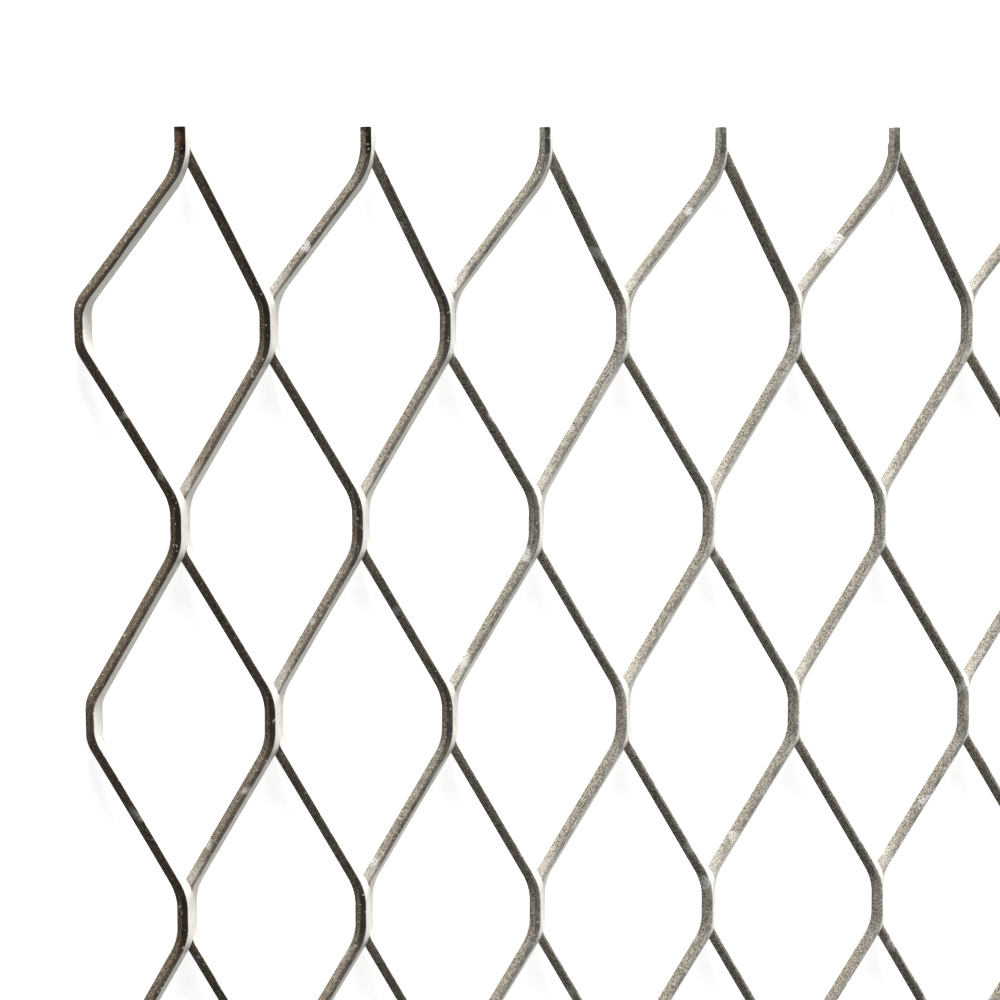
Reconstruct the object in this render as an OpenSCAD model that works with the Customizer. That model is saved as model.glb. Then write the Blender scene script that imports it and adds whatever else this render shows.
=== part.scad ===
// Raised expanded metal sheet, one slit and stretched piece of carbon steel.
// X runs along the short way of the diamonds, Y along the long way, Z is up.
// The origin is the middle of the sheet on the floor.

/* [Diamond] */
// Long way of the diamond, bond centre to bond centre (mm)
lwd = 50.8; // [30:0.2:80]
// Short way of the diamond, bond centre to bond centre (mm)
swd = 22.7; // [16:0.1:36]

/* [Strand] */
// Thickness of the sheet that is slit (mm)
sheet_t = 1.5; // [0.8:0.1:2]
// Width of a strand, which is the feed of the press between two cuts (mm)
strand_w = 2.6; // [1.6:0.1:4]
// Straight length of a bond, where two strands stay joined (mm)
bond_flat = 4.6; // [1:0.1:7]
// Radius of the bend between a bond and a strand (mm)
bend_r = 4; // [2:0.5:7]

/* [Sheet] */
// Number of strands across the sheet, an odd number so both long edges match
strands = 27; // [5:2:27]
// Number of diamonds along the sheet
diamonds = 6; // [2:1:6]
// Sideways spring of the half bonds left by the shear at both ends (mm)
end_lean = 1.5; // [0:0.1:3]

/* [Hidden] */
// Flat steps in a bend
bend_steps = 3;
// Depth that the press pushes a strand down past the one before
stroke = round(100 * sqrt(pow(swd / 2, 2) - pow(strand_w, 2))) / 100;
// Lean of the strands from the plane of the sheet
tilt = atan2(stroke, strand_w);
// Number of half diamonds along the sheet
legs = 2 * diamonds;
half_lwd = lwd / 2;
// Distance along a leg between its two bonds, and a bend radius that leaves room for the leg
leg_run = half_lwd - bond_flat;
bend = min(bend_r, leg_run / 3);
sheet_len = diamonds * lwd;
// Left edge, right edge and lowest point of the strands once they are level
x_left = -(stroke + sheet_t) / 2 * sin(tilt) - strand_w * cos(tilt);
x_right = ((strands - 0.5) * stroke + sheet_t / 2 + end_lean) * sin(tilt)
    + (strands - 1) * strand_w * cos(tilt);
z_low = -(stroke + sheet_t) / 2 * cos(tilt);

// Middle of bond k of a strand that starts on the right (side 1) or on the left (side -1)
function bond_at(side, k) =
    side * (k % 2 == 0 ? 1 : -1) * stroke / 2 + (k == 0 || k == legs ? end_lean : 0);

// Angle of a leg that rises by a sideways distance between two equal bends
function leg_angle(rise) =
    let (over = rise - 2 * bend)
    asin(2 * bend / sqrt(leg_run * leg_run + over * over)) + atan2(over, leg_run);

// Points along the middle of leg k: out of one bond, down the leg and into the next bond
function leg_points(side, k) =
    let (
        from = bond_at(side, k),
        to = bond_at(side, k + 1),
        way = sign(to - from),
        turn = leg_angle(abs(to - from)),
        y0 = k * half_lwd + bond_flat / 2,
        y1 = (k + 1) * half_lwd - bond_flat / 2
    )
    concat(
        [for (j = [0 : bend_steps])
            let (a = turn * j / bend_steps)
            [from + way * bend * (1 - cos(a)), y0 + bend * sin(a)]],
        [for (j = [bend_steps : -1 : 0])
            let (a = turn * j / bend_steps)
            [to - way * bend * (1 - cos(a)), y1 - bend * sin(a)]]
    );

// Middle line of a whole strand, cut through the middle of its first and last bond
function strand_line(side) =
    concat(
        [[bond_at(side, 0), 0]],
        [for (k = [0 : legs - 1]) each leg_points(side, k)],
        [[bond_at(side, legs), sheet_len]]
    );

// One strand: a slit strip of the sheet, pushed out in waves
module strand(side) {
    line = strand_line(side);
    last = len(line) - 1;
    linear_extrude(height = strand_w)
        polygon(concat(
            [for (p = line) [p[0] + sheet_t / 2, p[1]]],
            [for (j = [last : -1 : 0]) [line[j][0] - sheet_t / 2, line[j][1]]]
        ));
}

// The sheet: every strand sits one feed behind and one stroke beside the one before it
module expanded_sheet() {
    color([0.42, 0.41, 0.39])
        translate([-(x_left + x_right) / 2, -sheet_len / 2, -z_low])
            rotate([0, tilt - 90, 0])
                union() {
                    for (i = [0 : strands - 1])
                        translate([i * stroke, 0, -i * strand_w])
                            strand(i % 2 == 0 ? 1 : -1);
                }
}

expanded_sheet();
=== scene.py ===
import math
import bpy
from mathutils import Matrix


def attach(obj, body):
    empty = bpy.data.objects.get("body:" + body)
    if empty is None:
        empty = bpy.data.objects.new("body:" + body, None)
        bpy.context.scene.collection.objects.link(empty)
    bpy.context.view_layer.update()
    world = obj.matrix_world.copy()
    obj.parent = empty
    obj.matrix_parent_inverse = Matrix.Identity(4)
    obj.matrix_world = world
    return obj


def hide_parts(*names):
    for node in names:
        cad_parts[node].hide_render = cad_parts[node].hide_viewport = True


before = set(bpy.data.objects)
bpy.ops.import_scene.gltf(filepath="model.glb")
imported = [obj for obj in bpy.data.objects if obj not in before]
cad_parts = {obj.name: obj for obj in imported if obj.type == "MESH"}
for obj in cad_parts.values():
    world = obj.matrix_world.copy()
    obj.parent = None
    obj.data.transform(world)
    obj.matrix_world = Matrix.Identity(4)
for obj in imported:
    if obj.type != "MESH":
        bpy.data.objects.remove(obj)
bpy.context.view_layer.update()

from types import SimpleNamespace

import bpy
import numpy as np
from mathutils import Matrix, Vector

bl_info = {
    "name": "Expanded metal sheet",
    "version": (1, 0, 0),
    "blender": (4, 5, 0),
    "location": "View3D > Sidebar > Expanded metal",
    "description": "Builds a raised expanded steel sheet from slit and stretched strands",
    "category": "Add Mesh",
}

NODE = "expanded_sheet"

# Steps along one arc of a bend and along one straight leg
ARC_STEPS = 5
LEG_STEPS = 4

# Points round a strand, in order: front cut, lower sheet face, back cut, upper sheet face
POINTS = 18
FRONT_CUT = np.arange(0, 7)
BACK_CUT = np.arange(9, 16)

# For each point, its share of a cut, and its place across the cut from the blade's side
CUT_SHARE = np.array([0, 0.6, 1, 1, 1, 1, 0.6, 0, 0] * 2)
CUT_ACROSS = np.array([-0.1, 0, 0.1, 0.36, 0.68, 0.95, 1.05, 1.05, -0.1] * 2)

# Points of a cut: the lip as shares of the rollover, down and in, the torn band as shares of its drop
LIP_DOWN = np.array([0, 0.22, 0.9])
LIP_IN = np.array([1, 0.25, 0])
TORN_FALL = np.array([0.45, 0.88, 1.15])

# Torn band: how far its middle is raised and where its foot starts, as shares of half the thickness
TORN_RAISE = 0.02
TORN_FOOT = 0.9

# Sheared ends: length of the lip, thickness left at it, and radii against those of other bends
END_LIP = 0.00012
END_THIN = 0.9
END_SLIT_R = 1.3
END_LEFT_R = 0.6

# Lengths past the end of a slit: start and fade of the cut's own shape, and the reach of a bond
CUT_START = 0.0001
CUT_FADE = 0.0009
BOND_REACH = 0.0035

# Noise of the finish: waves a metre, detail and roughness
FINE_NOISE = (6400, 1, 0.5)
GRAIN_NOISE = (2700, 3, 0.6)
GLINT_NOISE = (2200, 1, 0.5)
BORDER_NOISE = (600, 3, 0.6)
RUST_NOISE = (380, 4, 0.65)
PATCH_NOISE = (300, 3, 0.55)
DUST_NOISE = (230, 1, 0.4)
BROAD_NOISE = (40, 2, 0.5)

# Places along X, in metres, between which the painted shade and stain of the first edge and the look of
# the first edge fade
SHADE_AND_STAIN_FADE = (-0.158, -0.092)
EDGE_FADE = (-0.112, -0.085)

# Distances from a sheared end, in metres, between which a look changes
# Painted shade on the legs near the sheared ends fades out between these
END_LEG_SHADE_FADE = (0.018, 0.026)
END_RUST_FADE = (0.0, 0.008)
# Painted highlight on the cuts of the half bonds fades out between these
HALF_BOND_FADE = (0.0028, 0.0042)
# Painted shade of a facet on the cuts of the half bonds: where it fades, rises and leaves the lip
FACET_FADE = (0.0032, 0.0035)
FACET_RISE = (0.0, 0.0024)
FACET_LIP = (0.0003, 0.0009)

# Levels of a noise or an attribute between which a look sets in
CUT_LEVEL = (0.1, 0.5)
BOND_LEVEL = (0.2, 0.5)
TORN_LEVEL = (0.26, 0.40)
GRAIN_LEVEL = (0.40, 0.60)
BURNISH_LEVEL = (0.43, 0.59)
# Width and patch level of the painted shade along the crease between the bands
CREASE_SHADE_WIDTH = (0.02, 0.09)
CREASE_SHADE_LEVEL = (0.45, 0.6)
FACE_LEVEL = (0.3, 0.75)
PIT_LEVEL = (0.34, 0.48)
RUST_LEVEL = (0.62, 0.80)
FACET_LEVEL = (-0.05, 0.05)
DUST_LEVEL = (0.685, 0.735)
DUST_GRAIN = (0.36, 0.46)
GLINT_LEVEL = (0.67, 0.73)

# Colours that the finish has besides those a user would change
# Tint of the painted shade of a facet on the half bonds' cuts
FACET_SHADE_TINT = (0.17, 0.14, 0.12, 1)
# Colour of the dust, and of the painted glints in the bright specks
DUST_COLOR = (0.92, 0.90, 0.86, 1)

# Height and strength of the steel's grain, and its mirror share
GRAIN_HEIGHT = 0.00005
GRAIN_STRENGTH = 0.5
STEEL_SPECULAR = 0.3

# Floor: colour, glow that makes it white, and its place just under the sheet
FLOOR_COLOR = (0.8, 0.8, 0.8, 1)
FLOOR_GLOW = 0.84
FLOOR_DROP = 0.0002

# Lamps: place and size in metres, and the spot that both face
FAR_LAMP = (0.402, 2.772, 0.936), (1.6, 1.1)
RIGHT_LAMP = (0.97, 0.09, 0.38), (0.6, 0.4)
LAMP_AIM = (-0.07, 0.09, 0.0)

# Camera: place in metres, turns about Y, X and Z in degrees, width of the frame in millimetres
CAMERA_PLACE = (-0.13922, 0.13615, 0.38899)
CAMERA_TURNS = (5.5, 4.68, 0.168)
FRAME_WIDTH = 36
CLIP_START = 0.01


class SheetSizes(bpy.types.PropertyGroup):
    """Sizes of the sheet, as in the solid it stands for."""
    lwd: bpy.props.FloatProperty(
        name="Long way", description="Long way of the diamond, bond to bond",
        default=0.0508, unit="LENGTH")
    swd: bpy.props.FloatProperty(
        name="Short way", description="Short way of the diamond, bond to bond",
        default=0.0227, unit="LENGTH")
    sheet_t: bpy.props.FloatProperty(
        name="Sheet thickness", description="Thickness of the sheet that is slit",
        default=0.0015, unit="LENGTH")
    strand_w: bpy.props.FloatProperty(
        name="Strand width", description="Feed of the press between two cuts",
        default=0.0026, unit="LENGTH")
    end_lean: bpy.props.FloatProperty(
        name="End spring", description="Sideways spring of the half bonds at the sheared ends",
        default=0.0015, unit="LENGTH")
    strands: bpy.props.IntProperty(
        name="Strands", description="Number of strands across the sheet", default=27, min=5)
    diamonds: bpy.props.IntProperty(
        name="Diamonds", description="Number of diamonds along the sheet", default=6, min=2)


class BendShape(bpy.types.PropertyGroup):
    """Straight length and radius of a strand's bend along its two edges, its twist and its pull."""
    round_flat: bpy.props.FloatProperty(
        name="Round flat", description="Straight length along the edge that the blade pushes",
        default=0.0028, unit="LENGTH")
    round_r: bpy.props.FloatProperty(
        name="Round radius", description="Bend radius along the edge that the blade pushes",
        default=0.0074, unit="LENGTH")
    slit_flat: bpy.props.FloatProperty(
        name="Slit flat", description="Straight length along the edge joined to the next strand",
        default=0.0051, unit="LENGTH")
    slit_r: bpy.props.FloatProperty(
        name="Slit radius", description="Bend radius at the end of a slit",
        default=0.0025, unit="LENGTH")
    end_flat: bpy.props.FloatProperty(
        name="End flat", description="Straight length of a whole bond at the sheared ends, pushed edge",
        default=0.0056, unit="LENGTH")
    end_slit: bpy.props.FloatProperty(
        name="End slit flat",
        description="Straight length of a whole bond at the sheared ends, joined edge",
        default=0.0038, unit="LENGTH")
    end_r: bpy.props.FloatProperty(
        name="End radius", description="Bend radius at the sheared ends, pushed edge",
        default=0.0076, unit="LENGTH")
    loose_flat: bpy.props.FloatProperty(
        name="Loose flat",
        description="Straight length of the free bends along the long edges, back edge",
        default=0.0038, unit="LENGTH")
    loose_r: bpy.props.FloatProperty(
        name="Loose radius", description="Radius of the free bends along the long edges, back edge",
        default=0.0034, unit="LENGTH")
    loose_front_flat: bpy.props.FloatProperty(
        name="Loose front flat",
        description="Straight length of the free bends along the long edges, front edge",
        default=0.0024, unit="LENGTH")
    loose_front_r: bpy.props.FloatProperty(
        name="Loose front radius",
        description="Radius of the free bends along the long edges, front edge",
        default=0.0051, unit="LENGTH")
    leg_twist: bpy.props.FloatProperty(
        name="Leg twist", description="Twist of a leg against its bonds",
        default=math.radians(11), subtype="ANGLE")
    end_twist: bpy.props.FloatProperty(
        name="End twist", description="Further twist of the legs at the sheared ends",
        default=math.radians(4), subtype="ANGLE")
    leg_thick: bpy.props.FloatProperty(
        name="Leg thickness", description="Extra thickness of a leg along the stroke, as a share",
        default=0.16, subtype="FACTOR")
    end_thick: bpy.props.FloatProperty(
        name="End leg", description="Further thickness of the legs at the sheared ends, as a share",
        default=0.10, subtype="FACTOR")
    loose_twist: bpy.props.FloatProperty(
        name="Loose twist", description="Twist of the free bends along the first edge",
        default=math.radians(15), subtype="ANGLE")
    loose_thin: bpy.props.FloatProperty(
        name="Loose thinning", description="Thinning of the free bends along the first edge, as a share",
        default=0.06, subtype="FACTOR")
    pull: bpy.props.FloatProperty(
        name="Corner pull", description="Sideways pull at the first edge's far corner",
        default=0.0024, unit="LENGTH")
    pull_in: bpy.props.FloatProperty(
        name="Pull reach in", description="Distance from the edge over which the pull fades",
        default=0.0168, unit="LENGTH")
    pull_down: bpy.props.FloatProperty(
        name="Pull reach down", description="Distance from the far end over which the pull fades",
        default=0.0965, unit="LENGTH")


class CutEdge(bpy.types.PropertyGroup):
    """Shape of the slit edges of a strand."""
    rollover: bpy.props.FloatProperty(
        name="Rollover", description="Height of the rounded edge where the blade enters",
        default=0.00010, unit="LENGTH")
    burnish: bpy.props.FloatProperty(
        name="Burnish",
        description="Width of the smooth band below the rollover, as a share of the thickness",
        default=0.27, subtype="FACTOR")
    break_drop: bpy.props.FloatProperty(
        name="Break drop", description="Fall of the torn face to its far edge",
        default=0.00042, unit="LENGTH")
    # Painted highlight: the torn face is painted paler over this length towards the end of a slit
    highlight_reach: bpy.props.FloatProperty(
        name="Pale reach", description="Length over which the torn face pales towards the end of a slit",
        default=0.0036, unit="LENGTH")


class SteelFinish(bpy.types.PropertyGroup):
    """Colours of the bare steel, and of the painted shade along the first edge."""
    face_color: bpy.props.FloatVectorProperty(
        name="Sheet face", description="Colour of the rolled sheet faces",
        subtype="COLOR", default=(0.735, 0.712, 0.655), min=0, max=1)
    torn_color: bpy.props.FloatVectorProperty(
        name="Torn face", description="Colour of the rough torn band",
        subtype="COLOR", default=(0.425, 0.382, 0.312), min=0, max=1)
    burnish_color: bpy.props.FloatVectorProperty(
        name="Burnished band", description="Colour of the smooth cut band",
        subtype="COLOR", default=(0.58, 0.56, 0.50), min=0, max=1)
    # Painted shade mixed with a brown stain: darkens the cut faces towards the first edge
    edge_shade_and_stain: bpy.props.FloatVectorProperty(
        name="Edge stain", description="Colour that dims the cut faces along the first edge",
        subtype="COLOR", default=(0.36, 0.285, 0.215), min=0, max=1)
    rust_color: bpy.props.FloatVectorProperty(
        name="Rust", description="Colour of the light rust",
        subtype="COLOR", default=(0.20, 0.10, 0.055), min=0, max=1)


class StudioSetup(bpy.types.PropertyGroup):
    """Floor, lamps and camera."""
    floor_size: bpy.props.FloatProperty(
        name="Floor size", description="Side of the square floor", default=12.0, unit="LENGTH")
    key_power: bpy.props.FloatProperty(
        name="Key lamp", description="Power of the lamp beyond the far end", default=181.0, unit="POWER")
    side_power: bpy.props.FloatProperty(
        name="Side lamp", description="Power of the lamp on the right", default=4.4, unit="POWER")
    sky: bpy.props.FloatProperty(
        name="Room light", description="Level of the even room light", default=0.064)
    lens: bpy.props.FloatProperty(
        name="Lens", description="Focal length on a 36 mm frame, in millimetres", default=108.0)


def press_stroke(s):
    """Depth of one stroke: the short way's half is the slant side over one feed, rounded to 0.01 mm."""
    return round(1e5 * math.sqrt((s.swd / 2) ** 2 - s.strand_w ** 2)) / 1e5


def edge_wave(s, bend, side, on_front, loose):
    """Rows along one edge of a strand that starts on the right (side 1) or on the left (side -1).

    Between two bonds the edge leaves one bond on an arc, runs down a straight leg and enters the next
    bond on an arc. With run H and rise A between the straight parts and radii that add up to R, the
    leg's angle is asin(R / hypot(H, A - R)) + atan2(A - R, H). The edge at the slit has a long straight
    part and a tight arc, the other edge a short straight part and a wide arc. Where loose is True or
    False, the bends on the right or on the left are free. Returns distance along and offset."""
    legs = 2 * s.diamonds
    half = s.lwd / 2
    k = np.arange(legs + 1)
    right = side * np.where(k % 2 == 0, 1, -1) > 0
    last = (k == 0) | (k == legs)
    slit = right != on_front
    flat = np.where(slit, bend.slit_flat, bend.round_flat)
    flat = np.where(last & slit, bend.end_slit, np.where(last & right, bend.end_flat, flat))
    r = np.where(slit, bend.slit_r, bend.round_r)
    end_r = np.where(slit, END_SLIT_R, 1.0) * bend.end_r
    r = np.where(last & right, end_r, np.where(last & ~slit, END_LEFT_R * r, r))
    if loose is not None:
        free = (right == loose) & ~last
        flat = np.where(free, bend.loose_front_flat if on_front else bend.loose_flat, flat)
        r = np.where(free, bend.loose_front_r if on_front else bend.loose_r, r)

    at = np.where(right, 0.5, -0.5) * press_stroke(s) + np.where(last, s.end_lean, 0)
    rise = np.diff(at)
    way = np.sign(rise)[:, None]
    both = r[:-1] + r[1:]
    over = np.abs(rise) - both
    run = half - (flat[:-1] + flat[1:]) / 2
    turn = np.arcsin(both / np.hypot(run, over)) + np.arctan2(over, run)

    a = turn[:, None] * np.linspace(0, 1, ARC_STEPS + 1)[None, :]
    r0, r1 = r[:-1, None], r[1:, None]
    out_y = (k * half + flat / 2)[:-1, None] + r0 * np.sin(a)
    out_v = at[:-1, None] + way * r0 * (1 - np.cos(a))
    in_y = ((k * half - flat / 2)[1:, None] - r1 * np.sin(a))[:, ::-1]
    in_v = (at[1:, None] - way * r1 * (1 - np.cos(a)))[:, ::-1]
    m = np.linspace(0, 1, LEG_STEPS + 1)[1:-1][None, :]
    ys = np.concatenate([out_y, out_y[:, -1:] * (1 - m) + in_y[:, :1] * m, in_y], 1).ravel()
    vs = np.concatenate([out_v, out_v[:, -1:] * (1 - m) + in_v[:, :1] * m, in_v], 1).ravel()
    length = s.diamonds * s.lwd
    along = np.concatenate([[0, END_LIP], ys, [length - END_LIP, length]])
    offset = np.concatenate([at[:1], at[:1], vs, at[-1:], at[-1:]])
    return along, offset


def ring(across, feed, half_t, half_face):
    """Points round a strand from those of one cut.

    They are the cut, a sheet face, the cut turned half round and the other sheet face."""
    cut = np.stack([across, feed], 1)
    lower = [[-half_t, half_face], [-half_t, -half_face]]
    upper = [[half_t, -half_face], [half_t, half_face]]
    return np.concatenate([cut, lower, -cut, upper])


def section(s, edge):
    """The points round a strand as (across the thickness, along the feed), square and as sheared.

    The sheared front edge has a rounded lip, a smooth band and a torn band that falls away to the far
    side; the back edge is the same turned half round, as the two sides of one cut are."""
    h = s.sheet_t / 2
    c = s.strand_w / 2
    lip = h - LIP_DOWN * edge.rollover
    band = lip[-1] - edge.burnish * s.sheet_t
    middle = 0.5 * (band - h) + TORN_RAISE * h
    across = np.concatenate([lip, [band, middle, -TORN_FOOT * h, -h]])
    feed = np.concatenate([c - LIP_IN * edge.rollover, [c], c - TORN_FALL * edge.break_drop])
    square = ring(np.linspace(h, -h, len(FRONT_CUT)), np.full(len(FRONT_CUT), c), h, c / 2)
    return square, ring(across, feed, h, c / 2)


def strand_plan(s, bend):
    """Arrays over strands and rows that the points, the faces and the finish of the sheet share.

    Along every leg the rows run out of one bond on an arc, down a straight part and into the next bond
    on an arc. Each row has the bond it is nearest to, on the strand's right or left, its steps from that
    bond, its distance from the bond's middle along the joined edge, and how far each of its points
    follows the cut's own shape: not at all in a bond, and fully soon after the end of the slit, by the
    smooth step 3 x^2 - 2 x^3."""
    n = s.strands
    legs = 2 * s.diamonds
    i = np.arange(n)
    side = np.where(i % 2 == 0, 1, -1)
    loose = {0: False, n - 1: True}
    lines = [[edge_wave(s, bend, side[j], front, loose.get(j)) for front in (True, False)]
             for j in (0, 1, 2, n - 1)]
    pick = np.where(i == 0, 0, np.where(i == n - 1, 3, np.where(i % 2 == 1, 1, 2)))
    front_y, front_v = (np.array([lines[p][0][c] for p in pick]) for c in range(2))
    back_y, back_v = (np.array([lines[p][1][c] for p in pick]) for c in range(2))

    steps = 2 * ARC_STEPS + LEG_STEPS + 1
    row = np.arange(front_y.shape[1])
    leg = np.clip((row - 2) // steps, 0, legs - 1)
    pos = np.clip(row - 2 - leg * steps, 0, steps - 1)
    later = pos > (steps - 1) / 2
    near = leg + later
    last = (near == 0) | (near == legs)
    at_flat = (pos == 0) | (pos == steps - 1)
    right = (side[:, None] * np.where(near % 2 == 0, 1, -1)[None, :]) > 0
    bond_y = near * s.lwd / 2
    from_slit = np.where(right, back_y, front_y) - bond_y
    joined = np.where(last, bend.end_slit, bend.slit_flat) / 2

    x = np.clip((np.abs(from_slit) - joined - CUT_START) / CUT_FADE, 0, 1)
    free = np.where(at_flat, 0, x * x * (3 - 2 * x))
    as_cut = np.ones((n, len(row), POINTS))
    as_cut[:, :, FRONT_CUT] = np.where(right | (i == 0)[:, None], 1.0, free)[:, :, None]
    as_cut[:, :, BACK_CUT] = np.where(~right | (i == n - 1)[:, None], 1.0, free)[:, :, None]
    return SimpleNamespace(
        i=i, front_y=front_y, front_v=front_v, back_y=back_y, back_v=back_v,
        last=last, at_flat=at_flat, right=right,
        bond_y=bond_y, from_slit=from_slit, joined=joined, as_cut=as_cut,
        from_bond=np.where(later, steps - 1 - pos, pos), at_end=(leg == 0) | (leg == legs - 1))


def leg_turn(bend, plan):
    """Twist and thickness of every strand in every row: both grow over an arc from bond to leg."""
    n = len(plan.i)
    away = np.clip(plan.from_bond / ARC_STEPS, 0, 1)
    at_loose = 1 - np.clip(plan.from_bond / (ARC_STEPS + 2), 0, 1)
    at_loose = np.where(plan.right[0] | plan.last, 0, at_loose)
    twist = np.repeat(((bend.leg_twist + bend.end_twist * plan.at_end) * away)[None, :], n, 0)
    loose = bend.leg_twist + (bend.loose_twist - bend.leg_twist) * at_loose
    twist[0] = np.where(at_loose > 0, loose, twist[0])
    thick = np.repeat((1 + (bend.leg_thick + bend.end_thick * plan.at_end) * away)[None, :], n, 0)
    thick[0] -= bend.loose_thin * at_loose
    return twist, thick


def sheet_points(s, bend, edge, plan):
    """Points of all strands, and their distance along the sheet.

    Strand i lies i strokes to the side and i feeds down, and the lot is turned so the bonds lie level.
    Between its two edges a strand is a ruled strip. A sideways pull, exp(-distance / reach) both from
    the edge and from the end, opens the diamonds at one corner."""
    n = len(plan.i)
    length = s.diamonds * s.lwd
    stroke = press_stroke(s)
    tilt = math.atan2(stroke, s.strand_w)
    si, co = math.sin(tilt), math.cos(tilt)
    twist, thick = leg_turn(bend, plan)
    st, ct = np.sin(twist)[:, :, None], np.cos(twist)[:, :, None]

    square, sheared = section(s, edge)
    part = square * (1 - plan.as_cut[..., None]) + sheared * plan.as_cut[..., None]
    part[:, [0, -1], :, 0] *= END_THIN
    part[..., 0] *= thick[:, :, None]
    across, feed = part[..., 0], part[..., 1]
    share = feed / s.strand_w + 0.5
    y = plan.back_y[:, :, None] + (plan.front_y - plan.back_y)[:, :, None] * share
    v = plan.back_v[:, :, None] + (plan.front_v - plan.back_v)[:, :, None] * share
    v = v + across * ct - feed * st + (plan.i * stroke)[:, None, None]
    u = feed * ct + across * st + ((0.5 - plan.i) * s.strand_w)[:, None, None]

    left = -(stroke + s.sheet_t) / 2 * si - s.strand_w * co
    right = ((n - 0.5) * stroke + s.sheet_t / 2 + s.end_lean) * si + (n - 1) * s.strand_w * co
    low = -(stroke + s.sheet_t) / 2 * co
    x = v * si - u * co
    fade_in = np.exp(-np.maximum(x - left, 0) / bend.pull_in)
    fade_down = np.exp((y - length) / bend.pull_down)
    x = x - bend.pull * fade_in * fade_down
    return np.stack([x - (left + right) / 2, y - length / 2, v * co + u * si - low], -1), y


def sheet_faces(plan):
    """Four-sided faces and end faces: the section carried along every strand, joined in the bonds.

    In a bond the two strands share their points, and the walls between them are left out."""
    n = len(plan.i)
    rows = len(plan.at_flat)
    ids = np.arange(n * rows * POINTS).reshape(n, rows, POINTS)
    nxt = np.roll(ids, -1, axis=2)
    quads = np.stack([ids[:, :-1], ids[:, 1:], nxt[:, 1:], nxt[:, :-1]], -1)
    flat = (plan.at_flat[:-1] & plan.at_flat[1:])[None, :]
    right = plan.right[:, :-1]
    hide = np.zeros((n, rows - 1, POINTS), bool)
    hide[:, :, FRONT_CUT[:-1]] = (flat & ~right & (plan.i > 0)[:, None])[:, :, None]
    hide[:, :, BACK_CUT[:-1]] = (flat & right & (plan.i < n - 1)[:, None])[:, :, None]
    same = np.arange(ids.size)
    strand, row = np.nonzero(plan.at_flat[None, :] & ~plan.right[1:])
    same[ids[strand + 1, row][:, FRONT_CUT]] = ids[strand, row][:, BACK_CUT[::-1]]
    caps = np.concatenate([ids[:, 0, :], ids[:, -1, ::-1]])
    return same[quads[~hide]], same[caps]


def finish_fields(s, bend, edge, plan, y):
    """Values that the finish reads at every point.

    They are the share of a cut, the place across it, the bond (1 on the right, -1 on the left, falling
    off as exp(-(distance / reach)^2)), the end of a slit for a painted highlight, falling off in the
    same way, and the distance from the nearer sheared end."""
    n = len(plan.i)
    shape = plan.as_cut.shape
    gone = np.maximum(np.abs(plan.front_y - plan.bond_y) - bend.round_flat / 2, 0)
    sign = np.where(plan.right, 1, np.where(plan.i == 0, 0, -1)[:, None])
    bond = sign * np.exp(-(gone / BOND_REACH) ** 2)
    # Painted highlight that falls off from the end of a slit
    past = np.maximum(np.abs(plan.from_slit) - plan.joined, 0)
    pale = np.exp(-(past / edge.highlight_reach) ** 2)
    above = plan.from_slit > 0
    slit_end_highlight = np.zeros(shape)
    on_front = ~plan.right & above & (plan.i > 0)[:, None]
    on_back = plan.right & ~above & (plan.i < n - 1)[:, None]
    slit_end_highlight[:, :, FRONT_CUT] = np.where(on_front, pale, 0)[:, :, None]
    slit_end_highlight[:, :, BACK_CUT] = np.where(on_back, pale, 0)[:, :, None]
    return {
        "slit_end_highlight": slit_end_highlight,
        "cut_face": CUT_SHARE * plan.as_cut,
        "across": np.broadcast_to(CUT_ACROSS, shape),
        "bond": np.broadcast_to(bond[:, :, None], shape),
        "end_gap": np.minimum(y, s.diamonds * s.lwd - y),
    }


def sheet_mesh(s, bend, edge):
    """The whole sheet as one closed mesh: its used points, four-sided faces, end faces and fields."""
    plan = strand_plan(s, bend)
    pts, y = sheet_points(s, bend, edge, plan)
    quads, caps = sheet_faces(plan)
    fields = finish_fields(s, bend, edge, plan, y)
    used = np.unique(np.concatenate([quads.ravel(), caps.ravel()]))
    back_to = np.full(y.size, -1)
    back_to[used] = np.arange(len(used))
    kept = {key: field.reshape(-1)[used] for key, field in fields.items()}
    return pts.reshape(-1, 3)[used], back_to[quads], back_to[caps], kept


def mesh_object(name, pts, quads, caps, fields):
    """Puts arrays of points and faces into a smooth mesh with one float attribute a field."""
    mesh = bpy.data.meshes.new(name)
    nq, ne, side = len(quads), len(caps), caps.shape[1]
    mesh.vertices.add(len(pts))
    mesh.vertices.foreach_set("co", np.ascontiguousarray(pts, np.float32).ravel())
    mesh.loops.add(nq * 4 + ne * side)
    corners = np.concatenate([quads.ravel(), caps.ravel()])
    mesh.loops.foreach_set("vertex_index", corners.astype(np.int32))
    mesh.polygons.add(nq + ne)
    starts = np.concatenate([np.arange(nq) * 4, nq * 4 + np.arange(ne) * side])
    mesh.polygons.foreach_set("loop_start", starts.astype(np.int32))
    mesh.update(calc_edges=True)
    smooth = np.concatenate([np.ones(nq, bool), np.zeros(ne, bool)])
    mesh.polygons.foreach_set("use_smooth", smooth)
    for key, values in fields.items():
        mesh.attributes.new(key, "FLOAT", "POINT").data.foreach_set("value", values.astype(np.float32))
    mesh.validate()
    mesh.update()
    obj = bpy.data.objects.new(name, mesh)
    bpy.context.scene.collection.objects.link(obj)
    return obj


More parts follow.
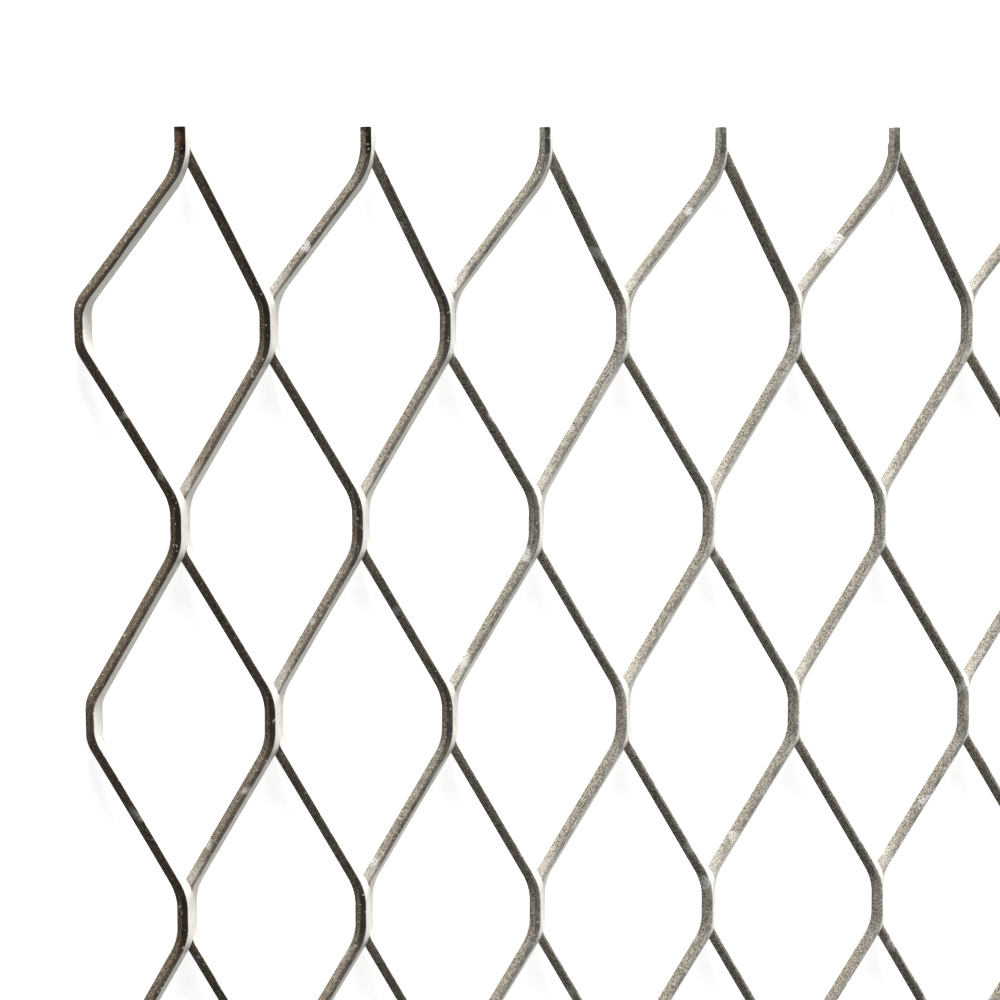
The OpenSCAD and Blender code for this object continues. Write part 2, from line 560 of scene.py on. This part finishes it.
class Nodes:
    """Short calls that add and join the nodes of one material."""

    def __init__(self, name):
        self.mat = bpy.data.materials.new(name)
        self.mat.use_nodes = True
        self.tree = self.mat.node_tree
        self.tree.nodes.clear()

    def put(self, socket, value):
        """Joins an output to a socket, or sets the socket to a constant."""
        if isinstance(value, bpy.types.NodeSocket):
            self.tree.links.new(value, socket)
        else:
            socket.default_value = value

    def add(self, kind, **sockets):
        """A node with some of its sockets filled, their names written with _ for a space."""
        node = self.tree.nodes.new(kind)
        for key, value in sockets.items():
            self.put(node.inputs[key.replace("_", " ")], value)
        return node

    def math(self, op, a, b=0.0, c=0.0, clamp=False):
        """One sum on up to three values."""
        node = self.tree.nodes.new("ShaderNodeMath")
        node.operation = op
        node.use_clamp = clamp
        for socket, value in zip(node.inputs, (a, b, c)):
            self.put(socket, value)
        return node.outputs[0]

    def times(self, a, b):
        """a times b."""
        return self.math("MULTIPLY", a, b)

    def scaled(self, value, factor, start):
        """start plus value times factor."""
        return self.math("MULTIPLY_ADD", value, factor, start)

    def weigh(self, a, share_a, b, share_b):
        """The sum of two values, each times its share."""
        return self.math("ADD", self.times(a, share_a), self.times(b, share_b))

    def ramp(self, value, low, high, to_low=0.0, to_high=1.0):
        """A smooth step between two levels."""
        node = self.tree.nodes.new("ShaderNodeMapRange")
        node.interpolation_type = "SMOOTHSTEP"
        names = ("Value", "From Min", "From Max", "To Min", "To Max")
        for key, val in zip(names, (value, low, high, to_low, to_high)):
            self.put(node.inputs[key], val)
        return node.outputs[0]

    def mix(self, fac, a, b, blend="MIX"):
        """Two colours mixed."""
        node = self.tree.nodes.new("ShaderNodeMix")
        node.data_type = "RGBA"
        node.blend_type = blend
        self.put(node.inputs[0], fac)
        self.put(node.inputs[6], a)
        self.put(node.inputs[7], b)
        return node.outputs[2]

    def noise(self, vector, scale, detail, rough):
        """Noise in three dimensions."""
        sockets = {"Vector": vector, "Scale": scale, "Detail": detail, "Roughness": rough}
        return self.add("ShaderNodeTexNoise", **sockets).outputs["Fac"]

    def attribute(self, name):
        """A field of the mesh."""
        node = self.tree.nodes.new("ShaderNodeAttribute")
        node.attribute_name = name
        return node.outputs["Fac"]

    def finish(self, surface):
        """Joins a shader to the output and gives the material."""
        self.add("ShaderNodeOutputMaterial", Surface=surface)
        return self.mat


def shade(color, share=1.0):
    """A colour times a share, opaque and with no part over 1."""
    return tuple(min(1.0, c * share) for c in color) + (1.0,)


def steel_places(n):
    """Noise and places that the looks share: where a cut, a bond, an end or the first edge is."""
    obj = n.add("ShaderNodeTexCoord").outputs["Object"]
    along = n.add("ShaderNodeSeparateXYZ", Vector=obj).outputs["X"]
    at = SimpleNamespace(
        obj=obj, is_cut=n.ramp(n.attribute("cut_face"), *CUT_LEVEL),
        bond=n.attribute("bond"), end_gap=n.attribute("end_gap"), across=n.attribute("across"),
        fine=n.noise(obj, *FINE_NOISE), grain=n.noise(obj, *GRAIN_NOISE),
        patch=n.noise(obj, *PATCH_NOISE), broad=n.noise(obj, *BROAD_NOISE),
        edge=n.ramp(along, *SHADE_AND_STAIN_FADE, 1.0, 0.0), near_edge=n.ramp(along, *EDGE_FADE, 1.0, 0.0))
    at.salt = n.weigh(at.fine, 0.7, at.grain, 0.3)
    at.wobble = n.scaled(n.noise(obj, *BORDER_NOISE), 0.44, -0.22)
    at.place = n.math("ADD", n.scaled(at.bond, -0.2, at.across), at.wobble)
    at.torn = n.ramp(at.place, *TORN_LEVEL)
    at.right_bond = n.ramp(at.bond, *BOND_LEVEL)
    # Painted shade on the cuts of the legs near the sheared ends, less along the first edge
    end_leg = n.ramp(at.end_gap, *END_LEG_SHADE_FADE, 0.35, 0.0)
    at.end_leg = n.times(end_leg, n.scaled(at.near_edge, -0.6, 1.0))
    return at


def cut_look(n, fin, at):
    """Colour of the cuts.

    A smooth band and a torn band with painted shade along the crease between them, the first edge's
    painted shade with a brown stain, painted shade in the bonds and near the sheared ends, and painted
    highlights at slit ends and half bonds."""
    grain = n.ramp(at.salt, *GRAIN_LEVEL)
    in_bond = n.math("MAXIMUM", at.bond, 0.0)
    edge_bond = n.times(at.near_edge, in_bond)
    # Colour of the painted shade on the smooth band and along the crease
    dark = shade(fin.burnish_color, 0.08)

    smooth = n.ramp(n.weigh(at.patch, 0.35, at.salt, 0.65), *BURNISH_LEVEL)
    smooth = n.mix(smooth, shade(fin.burnish_color, 0.45), shade(fin.burnish_color, 1.5))
    # Painted shade: the smooth band darkens in right bonds, along the first edge and on the legs near
    # the sheared ends
    burnish_shade = n.scaled(edge_bond, 0.05, n.scaled(at.near_edge, 0.6, at.end_leg))
    smooth = n.mix(n.scaled(in_bond, 0.25, burnish_shade), smooth, dark)
    torn = n.mix(grain, shade(fin.torn_color, 0.35), shade(fin.torn_color, 1.66))
    color = n.mix(at.torn, smooth, torn)

    # Painted shade along the crease between the smooth and the torn band, in patches
    crease_shade = n.ramp(n.math("ABSOLUTE", n.math("SUBTRACT", at.place, 0.33)), *CREASE_SHADE_WIDTH, 1.0, 0.0)
    crease_shade = n.times(crease_shade, n.ramp(at.patch, *CREASE_SHADE_LEVEL))
    color = n.mix(n.times(crease_shade, 0.6), color, dark)
    # Painted shade, with a brown stain: the cut faces darken towards the first edge and its bonds
    stain = n.math("MULTIPLY_ADD", edge_bond, 0.28, n.times(at.edge, 0.88), clamp=True)
    color = n.mix(stain, color, shade(fin.edge_shade_and_stain), "MULTIPLY")
    # Painted shade: the cut faces darken on the legs near the sheared ends
    color = n.mix(n.times(at.end_leg, 0.4), color, shade(fin.torn_color, 0.2))

    # Painted highlight: the torn face pales towards the ends of slits and on the half bonds at the
    # sheared ends
    inner = n.math("SUBTRACT", 1.0, at.near_edge)
    half_bond = n.ramp(at.end_gap, *HALF_BOND_FADE, 0.32, 0.0)
    half_bond = n.times(n.times(half_bond, inner), at.right_bond)
    pale = n.math("MAXIMUM", n.attribute("slit_end_highlight"), half_bond)
    highlight_color = n.mix(grain, shade(fin.face_color, 0.78), shade(fin.face_color, 1.33))
    return n.mix(n.times(pale, n.scaled(at.torn, 0.5, 0.35)), color, highlight_color)


def face_look(n, fin, at):
    """Colour of the rolled sheet faces: soft patches and small dark pits."""
    patch = n.ramp(at.patch, *FACE_LEVEL)
    color = n.mix(patch, shade(fin.face_color, 0.86), shade(fin.face_color, 1.1))
    return n.mix(n.ramp(at.salt, *PIT_LEVEL, 0.4, 0.0), color, shade(fin.face_color, 0.5))


def light_rust(n, at):
    """Where rust is: broad and fine noise, likelier in the bonds and at the sheared ends."""
    likely = n.math("ADD", n.times(at.bond, 0.05), n.ramp(at.end_gap, *END_RUST_FADE, 0.02, 0.0))
    stain = n.weigh(n.noise(at.obj, *RUST_NOISE), 0.7, at.broad, 0.4)
    return n.ramp(n.math("ADD", stain, likely), *RUST_LEVEL)


def facet_shade(n, at):
    """Where painted shade of a facet darkens the cut of a half bond: a wedge that widens away from the
    sheared end.
    """
    lip = n.ramp(at.end_gap, *FACET_LIP, 1.0, 0.0)
    wedge = n.scaled(at.near_edge, lip, n.ramp(at.end_gap, *FACET_RISE, 0.1, 0.56))
    facet = n.ramp(n.math("SUBTRACT", wedge, n.scaled(at.wobble, 0.3, at.across)), *FACET_LEVEL)
    here = n.times(n.ramp(at.end_gap, *FACET_FADE, 1.0, 0.0), at.right_bond)
    return n.times(n.times(n.times(facet, at.is_cut), here), n.scaled(at.near_edge, 0.3, 0.45))


def dust_and_glints(n, at):
    """Where pale dust lies in spots, less so along the first edge, and small bright specks of painted
    glint.
    """
    dust = n.times(n.ramp(n.noise(at.obj, *DUST_NOISE), *DUST_LEVEL), n.ramp(at.fine, *DUST_GRAIN))
    dust = n.times(dust, n.scaled(at.edge, -0.4, 1.0))
    glint = n.ramp(n.noise(at.obj, *GLINT_NOISE), *GLINT_LEVEL)
    return n.math("MAXIMUM", dust, n.times(glint, 0.6))


def bare_steel(fin):
    """Mill steel: rolled faces, cuts with a smooth and a torn band, painted shade at the ends, dust with
    painted glints and light rust.
    """
    n = Nodes("bare_steel")
    at = steel_places(n)
    steel = n.mix(at.is_cut, face_look(n, fin, at), cut_look(n, fin, at))
    rust = light_rust(n, at)
    rust_share = n.times(rust, n.scaled(n.times(at.is_cut, at.edge), 0.6, 0.12))
    rust_color = n.mix(at.fine, shade(fin.rust_color, 0.5), shade(fin.rust_color, 1.8))
    steel = n.mix(rust_share, steel, rust_color)
    # Painted shade of a facet on the cuts of the half bonds
    steel = n.mix(facet_shade(n, at), steel, FACET_SHADE_TINT, "MULTIPLY")
    # Dust, and painted glints in the small bright specks
    dust_glint = dust_and_glints(n, at)
    steel = n.mix(n.times(dust_glint, 0.9), steel, DUST_COLOR)

    face_rough, smooth_rough, torn_rough = (shade((level,) * 3) for level in (0.46, 0.5, 0.85))
    rough = n.mix(at.is_cut, face_rough, n.mix(at.torn, smooth_rough, torn_rough))
    rough = n.math("ADD", rough, n.times(n.math("MAXIMUM", rust, dust_glint), 0.2), clamp=True)
    clean = n.math("SUBTRACT", 1.0, dust_glint)
    metal = n.times(clean, n.scaled(n.times(at.is_cut, at.torn), -0.1, 0.1))
    coarse = n.scaled(n.times(at.torn, at.is_cut), 0.5, 0.2)
    height = n.math("ADD", n.times(at.fine, 0.5), n.times(at.grain, coarse))
    bump = n.add("ShaderNodeBump", Strength=GRAIN_STRENGTH, Distance=GRAIN_HEIGHT, Height=height)
    shader = n.add(
        "ShaderNodeBsdfPrincipled", Base_Color=steel, Metallic=metal, Roughness=rough,
        Specular_IOR_Level=STEEL_SPECULAR, Normal=bump.outputs["Normal"])
    return n.finish(shader.outputs[0])


def pale_floor():
    """White paper that keeps the object's shadow: lit white with a glow that the eye and metal see."""
    n = Nodes("pale_floor")
    path = n.add("ShaderNodeLightPath").outputs
    seen = n.math("MAXIMUM", path["Is Camera Ray"], path["Is Glossy Ray"])
    seen = n.math("MAXIMUM", seen, path["Is Transmission Ray"])
    lit = n.add("ShaderNodeBsdfDiffuse", Color=FLOOR_COLOR)
    glow = n.add("ShaderNodeEmission", Color=(1, 1, 1, 1), Strength=n.times(seen, FLOOR_GLOW))
    both = n.add("ShaderNodeAddShader")
    n.put(both.inputs[0], lit.outputs[0])
    n.put(both.inputs[1], glow.outputs[0])
    return n.finish(both.outputs[0])


def softbox(name, place, size, aim, power):
    """A flat soft lamp at a place, facing another."""
    lamp = bpy.data.lights.new(name, "AREA")
    lamp.shape = "RECTANGLE"
    lamp.size, lamp.size_y = size
    lamp.energy = power
    obj = bpy.data.objects.new(name, lamp)
    obj.location = place
    obj.rotation_euler = (Vector(aim) - Vector(place)).to_track_quat("-Z", "Y").to_euler()
    bpy.context.scene.collection.objects.link(obj)


def room_light(level):
    """A world of even white light."""
    world = bpy.data.worlds.new("room")
    world.use_nodes = True
    back = world.node_tree.nodes["Background"]
    back.inputs["Color"].default_value = (1, 1, 1, 1)
    back.inputs["Strength"].default_value = level
    return world


def photo_camera(lens):
    """The camera, turned about Y, X and Z in that order and set at its place."""
    cam = bpy.data.cameras.new("photo_camera")
    cam.sensor_width = FRAME_WIDTH
    cam.sensor_fit = "HORIZONTAL"
    cam.lens = lens
    cam.clip_start = CLIP_START
    obj = bpy.data.objects.new("photo_camera", cam)
    yaw, pitch, roll = (math.radians(a) for a in CAMERA_TURNS)
    turn = Matrix.Rotation(-yaw, 4, "Y") @ Matrix.Rotation(-pitch, 4, "X")
    turn = turn @ Matrix.Rotation(-roll, 4, "Z")
    obj.matrix_world = Matrix.Translation(CAMERA_PLACE) @ turn
    bpy.context.scene.collection.objects.link(obj)
    return obj


class EXPANDED_OT_sheet(bpy.types.Operator):
    """Builds the stretched sheet with its sheared edges and steel finish"""
    bl_idname = "expanded.sheet"
    bl_label = "Stretched sheet"

    def execute(self, context):
        sc = context.scene
        shape = sheet_mesh(sc.expanded_sizes, sc.expanded_bend, sc.expanded_edge)
        obj = mesh_object("stretched_sheet", *shape)
        obj.data.materials.append(bare_steel(sc.expanded_finish))
        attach(obj, "root")
        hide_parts(NODE)
        return {"FINISHED"}


class EXPANDED_OT_studio(bpy.types.Operator):
    """Adds the pale floor, the soft lamps, the room light and the camera"""
    bl_idname = "expanded.studio"
    bl_label = "Studio"

    def execute(self, context):
        sc = context.scene
        studio = sc.expanded_studio
        sc.view_settings.view_transform = "Standard"
        half = studio.floor_size / 2
        corners = [(-half, -half, 0), (half, -half, 0), (half, half, 0), (-half, half, 0)]
        mesh = bpy.data.meshes.new("floor")
        mesh.from_pydata(corners, [], [(0, 1, 2, 3)])
        floor = bpy.data.objects.new("floor", mesh)
        floor.location = (0, 0, -FLOOR_DROP)
        floor.data.materials.append(pale_floor())
        sc.collection.objects.link(floor)
        softbox("far_lamp", *FAR_LAMP, LAMP_AIM, studio.key_power)
        softbox("right_lamp", *RIGHT_LAMP, LAMP_AIM, studio.side_power)
        sc.world = room_light(studio.sky)
        sc.camera = photo_camera(studio.lens)
        return {"FINISHED"}


class EXPANDED_PT_panel(bpy.types.Panel):
    """Lists the sizes, the finish and the steps of the sheet"""
    bl_idname = "EXPANDED_PT_panel"
    bl_label = "Expanded metal"
    bl_space_type = "VIEW_3D"
    bl_region_type = "UI"
    bl_category = "Expanded metal"

    def draw(self, context):
        for key, (title, _) in GROUPS.items():
            group = getattr(context.scene, key)
            box = self.layout.box()
            box.label(text=title)
            for name in group.bl_rna.properties.keys():
                if name not in ("rna_type", "name"):
                    box.prop(group, name)
        self.layout.operator("expanded.sheet")
        self.layout.operator("expanded.studio")


GROUPS = {
    "expanded_sizes": ("Sizes", SheetSizes),
    "expanded_bend": ("Bends", BendShape),
    "expanded_edge": ("Cut edge", CutEdge),
    "expanded_finish": ("Finish", SteelFinish),
    "expanded_studio": ("Studio", StudioSetup),
}
CLASSES = (
    *(group for _, group in GROUPS.values()), EXPANDED_OT_sheet, EXPANDED_OT_studio, EXPANDED_PT_panel)


def register():
    """Registers the classes and hangs the groups of sizes on the scene."""
    for cls in CLASSES:
        bpy.utils.register_class(cls)
    for key, (_, group) in GROUPS.items():
        setattr(bpy.types.Scene, key, bpy.props.PointerProperty(type=group))


def unregister():
    """Takes the groups and the classes away again."""
    for key in GROUPS:
        delattr(bpy.types.Scene, key)
    for cls in reversed(CLASSES):
        bpy.utils.unregister_class(cls)


def main():
    """Builds the sheet and the studio."""
    register()
    bpy.ops.expanded.sheet()
    bpy.ops.expanded.studio()
    bpy.context.view_layer.update()


if __name__ == "__main__":
    main()
